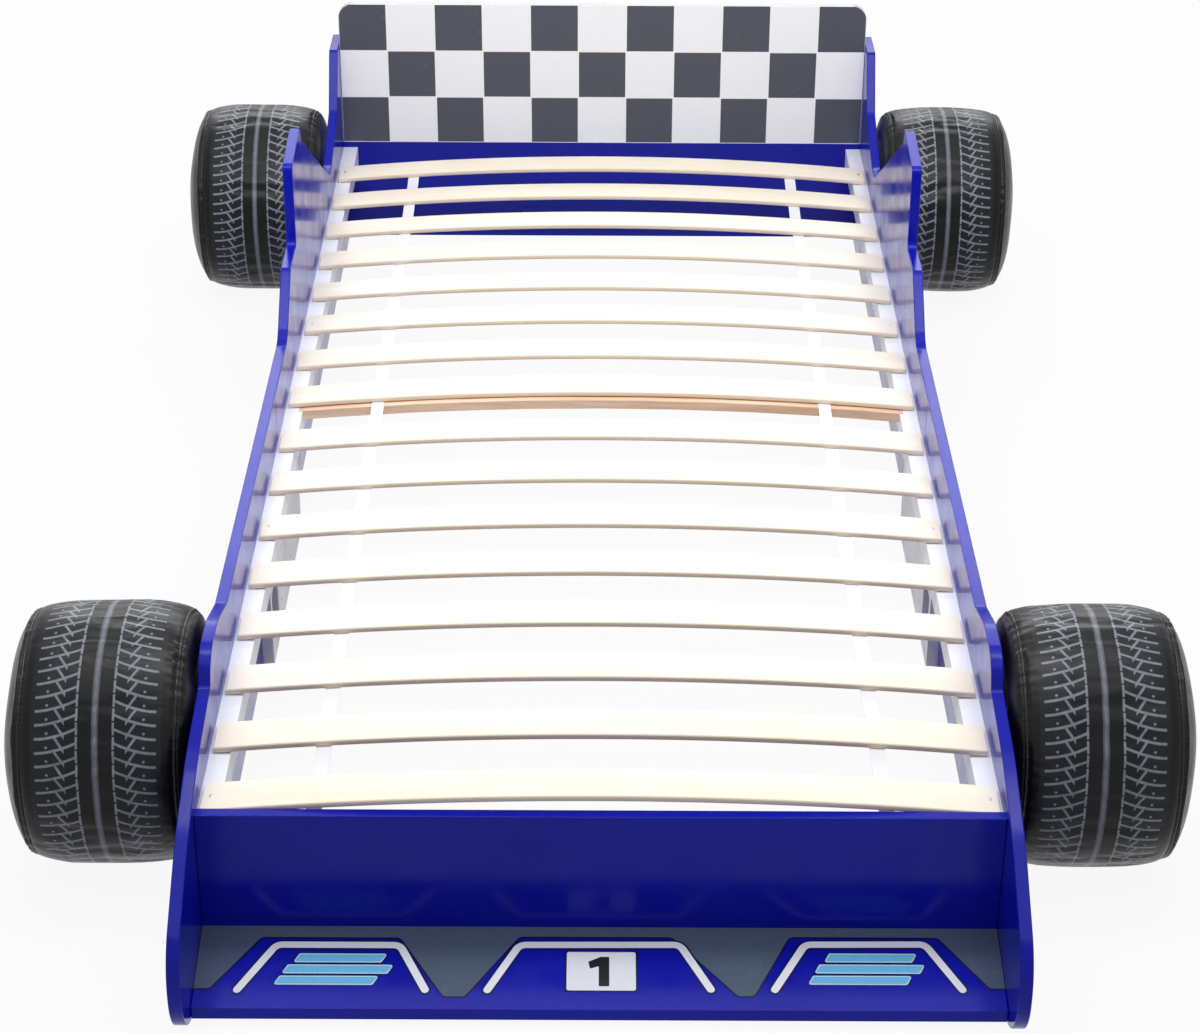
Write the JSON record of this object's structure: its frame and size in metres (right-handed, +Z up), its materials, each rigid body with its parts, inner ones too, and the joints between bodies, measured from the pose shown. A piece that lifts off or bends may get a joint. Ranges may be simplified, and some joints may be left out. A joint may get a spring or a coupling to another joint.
{
  "type": "car bed for children",
  "caption": "Low child's bed frame shaped like a racing car: lacquered side panels with wing and fin, checkered headboard, crowned slats on rails and soft wheels.",
  "frame": {"origin": "on the floor, under the middle of the bounding box", "axes": "+Y from the nose (foot end) to the headboard, +X to the right when looking from the nose to the headboard, +Z up"},
  "size_m": [1.4324, 2.276, 0.4854],
  "materials": {
    "panel_lacquer": "gloss",
    "panel_lacquer_boards": "gloss",
    "shelf_film": "satin",
    "headboard_print": "gloss",
    "rail_white": "satin",
    "plate_grey": "satin",
    "birch": "satin",
    "webbing": "matte",
    "beam_brown": "satin",
    "zinc_screws": "satin",
    "zinc_fittings": "satin",
    "spacer_plastic": "matte",
    "tyre_vinyl": "satin",
    "foam": "matte",
    "plywood": "matte"
  },
  "bodies": {
    "frame": {"side_panel_front_left": "panel_lacquer", "side_panel_front_right": "panel_lacquer", "side_panel_rear_left": "panel_lacquer", "side_panel_rear_right": "panel_lacquer", "front_board": "panel_lacquer_boards", "nose_shelf": "shelf_film", "headboard": "headboard_print", "rail_front_left": "rail_white", "rail_front_right": "rail_white", "rail_rear_left": "rail_white", "rail_rear_right": "rail_white", "joint_plate_left": "plate_grey", "joint_plate_right": "plate_grey", "slat_01": "birch", "slat_02": "birch", "slat_03": "birch", "slat_04": "birch", "slat_05": "birch", "slat_06": "birch", "slat_07": "birch", "slat_08": "birch", "slat_09": "birch", "slat_10": "birch", "slat_11": "birch", "slat_12": "birch", "slat_13": "birch", "slat_14": "birch", "slat_15": "birch", "slat_16": "birch", "strap_left": "webbing", "strap_right": "webbing", "mid_cross_beam": "beam_brown", "slat_screws": "zinc_screws", "rail_screws": "zinc_screws", "panel_screws": "zinc_screws", "plate_screws": "zinc_screws", "axle_bolts": "zinc_fittings", "axle_tee_nuts": "zinc_fittings", "axle_washers": "zinc_fittings", "axle_spacers": "spacer_plastic"},
    "wheel_front_left": {"wheel_cover_front_left": "tyre_vinyl", "wheel_foam_front_left": "foam", "wheel_hub_front_left": "plywood"},
    "wheel_front_right": {"wheel_cover_front_right": "tyre_vinyl", "wheel_foam_front_right": "foam", "wheel_hub_front_right": "plywood"},
    "wheel_rear_left": {"wheel_cover_rear_left": "tyre_vinyl", "wheel_foam_rear_left": "foam", "wheel_hub_rear_left": "plywood"},
    "wheel_rear_right": {"wheel_cover_rear_right": "tyre_vinyl", "wheel_foam_rear_right": "foam", "wheel_hub_rear_right": "plywood"}
  },
  "joints": [
    {"name": "wheel_front_left_spin", "type": "hinge", "parent": "frame", "child": "wheel_front_left", "pos_m": [-0.587, -0.734, 0.159], "axis": [1, 0, 0], "continuous": true},
    {"name": "wheel_front_right_spin", "type": "hinge", "parent": "frame", "child": "wheel_front_right", "pos_m": [0.587, -0.734, 0.159], "axis": [1, 0, 0], "continuous": true},
    {"name": "wheel_rear_left_spin", "type": "hinge", "parent": "frame", "child": "wheel_rear_left", "pos_m": [-0.587, 0.926, 0.159], "axis": [1, 0, 0], "continuous": true},
    {"name": "wheel_rear_right_spin", "type": "hinge", "parent": "frame", "child": "wheel_rear_right", "pos_m": [0.587, 0.926, 0.159], "axis": [1, 0, 0], "continuous": true}
  ]
}
